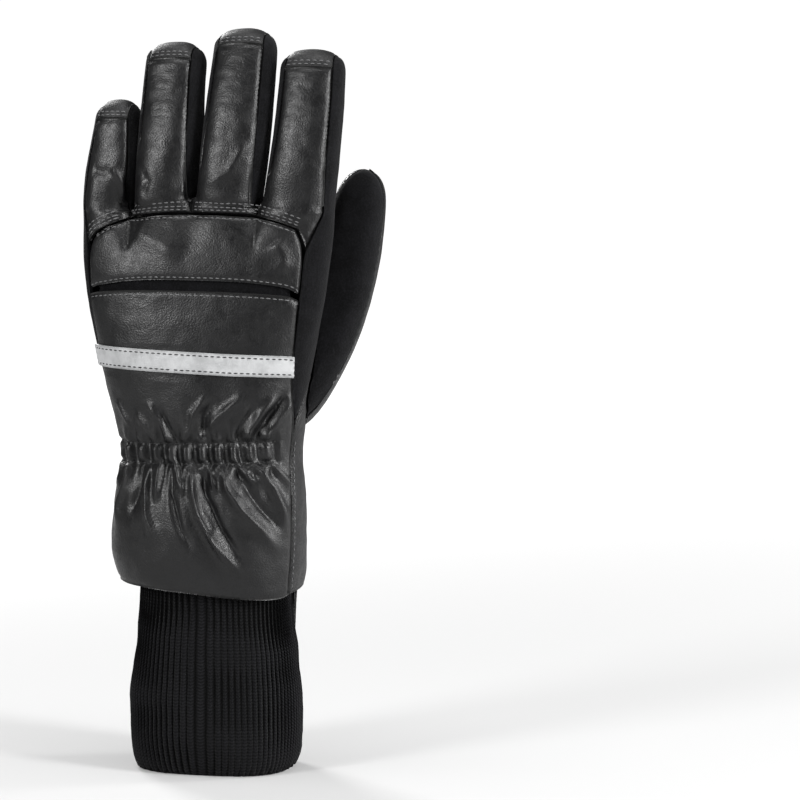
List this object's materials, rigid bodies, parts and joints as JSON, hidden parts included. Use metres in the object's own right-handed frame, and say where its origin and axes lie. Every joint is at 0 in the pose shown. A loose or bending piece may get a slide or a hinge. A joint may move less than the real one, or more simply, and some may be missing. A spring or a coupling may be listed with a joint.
{
  "type": "firefighter glove",
  "caption": "Left-hand firefighter glove of black leather with a dotted leather palm, a reflective strip, elasticated gathers at the wrist and a ribbed knit cuff.",
  "frame": {"origin": "centre of the cuff's mouth, where the wearer's wrist goes in", "axes": "+Z from the cuff's mouth to the fingertips, +X to the thumb side, the back of the hand faces -Y and the palm +Y"},
  "size_m": [0.1382, 0.0783, 0.3494],
  "materials": {
    "cowhide": "semi-gloss black cowhide with a fine grain",
    "tip_leather": "matte black leather",
    "dotted_leather": "matte dark grey leather with pressed dots",
    "suede": "matte black suede",
    "rib_knit": "matte black rib knit",
    "reflective_tape": "light grey reflective fabric"
  },
  "bodies": {
    "root": {"finger_cap_little": "tip_leather", "finger_cap_ring": "tip_leather", "finger_cap_middle": "tip_leather", "finger_cap_index": "tip_leather", "finger_back": "cowhide", "knuckle_panel": "cowhide", "hand_back": "cowhide", "flex_gusset": "suede", "reflective_tape": "reflective_tape", "palm_panel": "dotted_leather", "fourchette_little_ring": "suede", "fourchette_ring_middle": "suede", "fourchette_middle_index": "suede", "side_strip_little": "suede", "side_strip_index": "suede", "thumb_front": "cowhide", "thumb_inner": "dotted_leather", "thumb_back": "suede", "wrist_flap": "dotted_leather", "knit_cuff": "rib_knit"}
  },
  "joints": []
}
